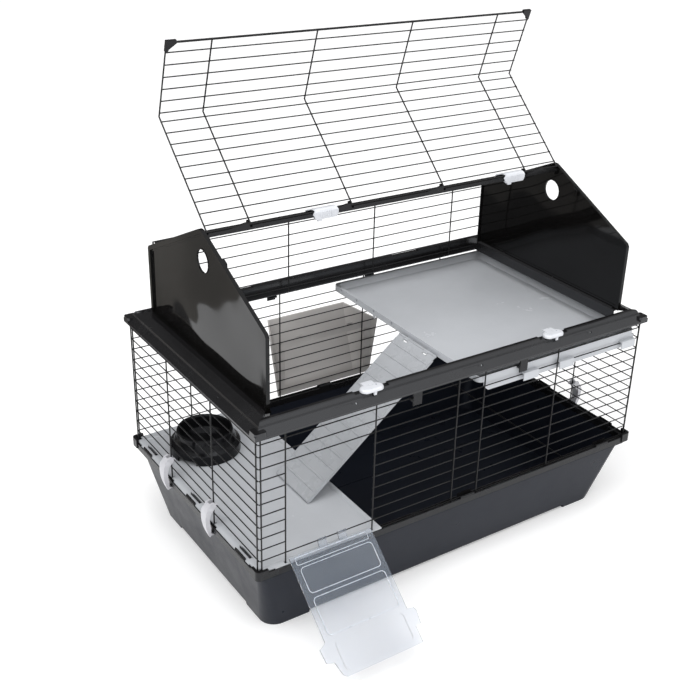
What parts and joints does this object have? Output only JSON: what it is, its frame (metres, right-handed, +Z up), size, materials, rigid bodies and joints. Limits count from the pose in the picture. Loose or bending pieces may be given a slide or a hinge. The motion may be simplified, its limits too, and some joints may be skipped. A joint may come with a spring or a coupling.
{
  "type": "rodent hutch",
  "caption": "Two-storey wire and plastic small-pet hutch with deep tray, gabled roof, opening lid, drop-down door, shelf, ramp, bowl and hay rack.",
  "frame": {"origin": "centre of the underside of the base tray, on the floor", "axes": "+Z up, +X along the length towards the shelf end, -Y towards the door"},
  "size_m": [1.002, 0.8356, 1.0685],
  "materials": {
    "tray_plastic": "satin",
    "black_plastic": "satin",
    "gloss_black": "gloss",
    "coated_wire": "satin",
    "grey_plastic": "satin",
    "clear_plastic": "gloss",
    "taupe_plastic": "satin",
    "white_plastic": "satin"
  },
  "bodies": {
    "hutch": {"base_tray": "tray_plastic", "tray_rim_frame": "black_plastic", "rim_wall_hooks": "black_plastic", "front_wire_wall": "coated_wire", "doorway_rows": "coated_wire", "rear_wire_wall": "coated_wire", "left_wire_wall": "coated_wire", "right_wire_wall": "coated_wire", "cross_brace": "coated_wire", "mid_frame_front": "black_plastic", "mid_frame_rear": "black_plastic", "mid_frame_left": "black_plastic", "mid_frame_right": "black_plastic", "frame_snap_hooks": "black_plastic", "gable_left": "gloss_black", "gable_right": "gloss_black", "ridge_beam": "black_plastic", "rear_roof_grille": "coated_wire", "rear_upper_grille": "coated_wire", "rear_roof_bar": "coated_wire", "upper_shelf": "grey_plastic", "lower_platform": "grey_plastic"},
    "lid": {"lid_hinge_bar": "coated_wire", "lid_slope_grille": "coated_wire", "lid_wall_grille": "coated_wire", "lid_end_bar": "coated_wire", "lid_corner_caps": "black_plastic"},
    "door": {"front_door": "clear_plastic"},
    "ramp_body": {"ramp": "grey_plastic"},
    "bowl": {"food_bowl": "gloss_black"},
    "rack": {"hay_rack": "taupe_plastic"},
    "ridge_lock_left": {"ridge_lock_left": "white_plastic"},
    "ridge_lock_right": {"ridge_lock_right": "white_plastic"},
    "lid_latch_left": {"lid_latch_left": "white_plastic"},
    "lid_latch_right": {"lid_latch_right": "white_plastic"},
    "side_latch_left_front": {"side_latch_left_front": "white_plastic"},
    "side_latch_left_rear": {"side_latch_left_rear": "white_plastic"},
    "side_latch_right_front": {"side_latch_right_front": "white_plastic"},
    "side_latch_right_rear": {"side_latch_right_rear": "white_plastic"}
  },
  "joints": [
    {"name": "lid_hinge", "type": "hinge", "parent": "hutch", "child": "lid", "pos_m": [0, -0.0096, 0.7494], "axis": [1, 0, 0], "range_deg": [0, 161.9]},
    {"name": "door_hinge", "type": "hinge", "parent": "hutch", "child": "door", "pos_m": [-0.325, -0.2745, 0.2], "axis": [1, 0, 0], "range_deg": [-129.1, 0]},
    {"name": "ramp_hinge", "type": "hinge", "parent": "hutch", "child": "ramp_body", "pos_m": [0.019, -0.072, 0.434], "axis": [0, 1, 0], "range_deg": [0, 38]},
    {"name": "bowl_lift", "type": "slide", "parent": "hutch", "child": "bowl", "axis": [0, 0, 1], "range_m": [0, 0.12]},
    {"name": "rack_lift", "type": "slide", "parent": "hutch", "child": "rack", "axis": [0, 0, 1], "range_m": [0, 0.012]},
    {"name": "ridge_lock_left_slide", "type": "slide", "parent": "hutch", "child": "ridge_lock_left", "axis": [1, 0, 0], "range_m": [-0.012, 0.012]},
    {"name": "ridge_lock_right_slide", "type": "slide", "parent": "hutch", "child": "ridge_lock_right", "axis": [1, 0, 0], "range_m": [-0.014, 0.002]},
    {"name": "lid_latch_left_slide", "type": "slide", "parent": "hutch", "child": "lid_latch_left", "axis": [1, 0, 0], "range_m": [0, 0.01]},
    {"name": "lid_latch_right_slide", "type": "slide", "parent": "hutch", "child": "lid_latch_right", "axis": [1, 0, 0], "range_m": [-0.01, 0]},
    {"name": "side_latch_left_front_hinge", "type": "hinge", "parent": "hutch", "child": "side_latch_left_front", "pos_m": [-0.4755, -0.096, 0.225], "axis": [0, 1, 0], "range_deg": [0, 30]},
    {"name": "side_latch_left_rear_hinge", "type": "hinge", "parent": "hutch", "child": "side_latch_left_rear", "pos_m": [-0.4755, 0.096, 0.225], "axis": [0, 1, 0], "range_deg": [0, 30]},
    {"name": "side_latch_right_front_hinge", "type": "hinge", "parent": "hutch", "child": "side_latch_right_front", "pos_m": [0.4755, -0.096, 0.225], "axis": [0, -1, 0], "range_deg": [0, 30]},
    {"name": "side_latch_right_rear_hinge", "type": "hinge", "parent": "hutch", "child": "side_latch_right_rear", "pos_m": [0.4755, 0.096, 0.225], "axis": [0, -1, 0], "range_deg": [0, 30]}
  ]
}
